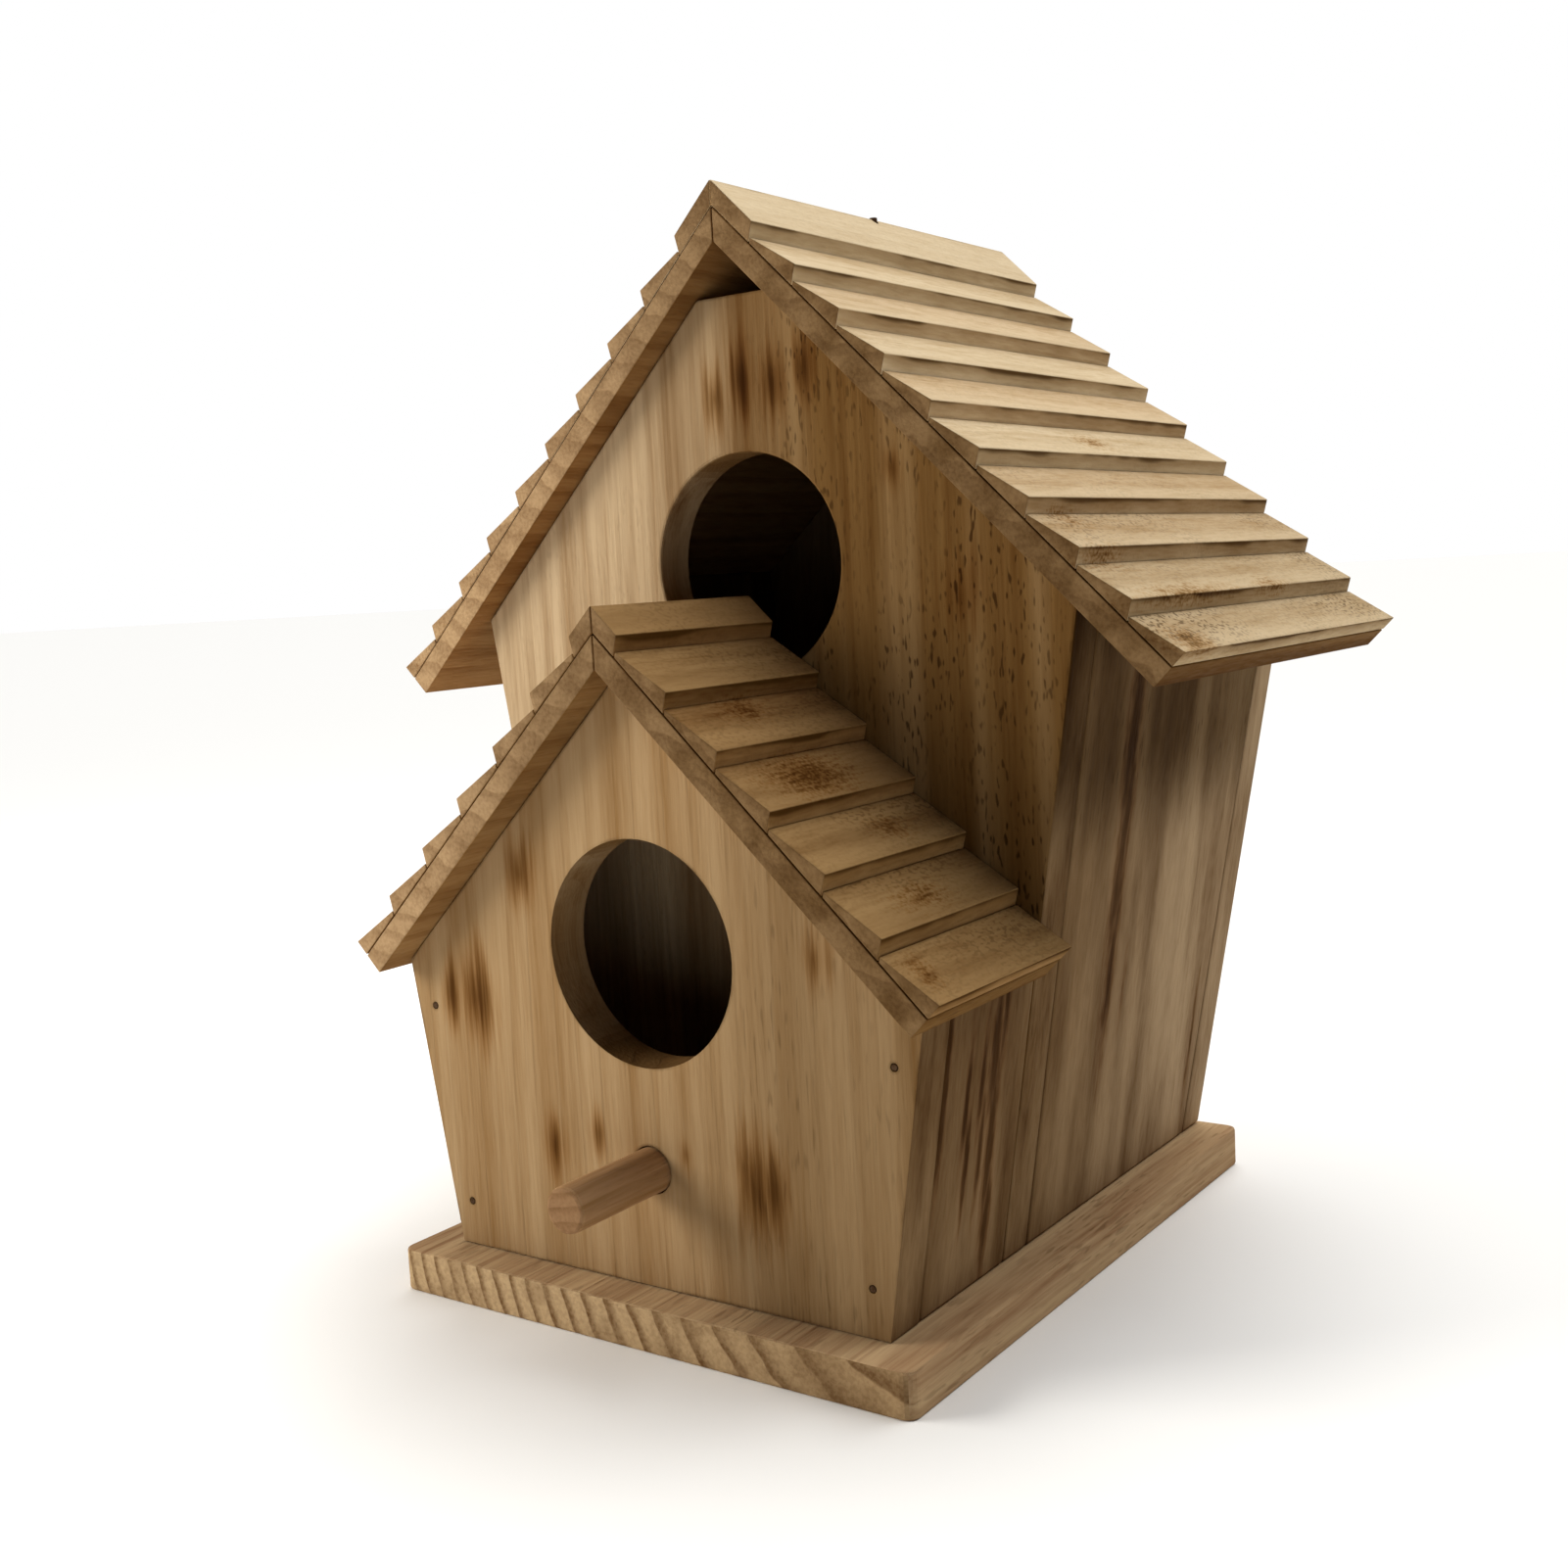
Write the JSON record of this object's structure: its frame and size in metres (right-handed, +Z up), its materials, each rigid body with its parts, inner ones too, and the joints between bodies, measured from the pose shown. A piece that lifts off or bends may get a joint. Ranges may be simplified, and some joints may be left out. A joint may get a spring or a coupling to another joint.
{
  "type": "hanging birdhouse",
  "caption": "Two-storey wooden birdhouse with round entry holes, a perch dowel, flared walls and lapped slat roofs on a flat base board.",
  "frame": {"origin": "centre of the base board's underside", "axes": "+Z up, -Y out of the front, where the perch points, and +X to the right as seen from the front; x is 0 on the middle plane"},
  "size_m": [0.2186, 0.2069, 0.2536],
  "materials": {
    "base_wood": "sawn, torched and oiled, grain front to back",
    "front_wood": "torched softwood with upright grain and dark streaks",
    "side_wood": "torched softwood with upright grain",
    "roof_board_wood": "stained softwood, end grain at the front",
    "slat_wood": "weathered pale softwood, grain along the ridge",
    "perch_wood": "plain turned dowel",
    "steel": "dull darkened wire steel"
  },
  "bodies": {
    "root": {"back_panel": "side_wood", "base_board": "base_wood", "left_nail_01": "steel", "left_nail_02": "steel", "lower_front_panel": "front_wood", "lower_left_wall": "side_wood", "lower_right_wall": "side_wood", "lower_roof_left_board": "roof_board_wood", "lower_roof_left_slat_01": "slat_wood", "lower_roof_left_slat_02": "slat_wood", "lower_roof_left_slat_03": "slat_wood", "lower_roof_left_slat_04": "slat_wood", "lower_roof_left_slat_05": "slat_wood", "lower_roof_left_slat_06": "slat_wood", "lower_roof_left_slat_07": "slat_wood", "lower_roof_right_board": "roof_board_wood", "lower_roof_right_slat_01": "slat_wood", "lower_roof_right_slat_02": "slat_wood", "lower_roof_right_slat_03": "slat_wood", "lower_roof_right_slat_04": "slat_wood", "lower_roof_right_slat_05": "slat_wood", "lower_roof_right_slat_06": "slat_wood", "lower_roof_right_slat_07": "slat_wood", "perch_dowel": "perch_wood", "ridge_pin": "steel", "right_nail_01": "steel", "right_nail_02": "steel", "upper_front_panel": "front_wood", "upper_left_wall": "side_wood", "upper_right_wall": "side_wood", "upper_roof_left_board": "roof_board_wood", "upper_roof_left_slat_01": "slat_wood", "upper_roof_left_slat_02": "slat_wood", "upper_roof_left_slat_03": "slat_wood", "upper_roof_left_slat_04": "slat_wood", "upper_roof_left_slat_05": "slat_wood", "upper_roof_left_slat_06": "slat_wood", "upper_roof_left_slat_07": "slat_wood", "upper_roof_left_slat_08": "slat_wood", "upper_roof_left_slat_09": "slat_wood", "upper_roof_left_slat_10": "slat_wood", "upper_roof_right_board": "roof_board_wood", "upper_roof_right_slat_01": "slat_wood", "upper_roof_right_slat_02": "slat_wood", "upper_roof_right_slat_03": "slat_wood", "upper_roof_right_slat_04": "slat_wood", "upper_roof_right_slat_05": "slat_wood", "upper_roof_right_slat_06": "slat_wood", "upper_roof_right_slat_07": "slat_wood", "upper_roof_right_slat_08": "slat_wood", "upper_roof_right_slat_09": "slat_wood", "upper_roof_right_slat_10": "slat_wood"}
  },
  "joints": []
}
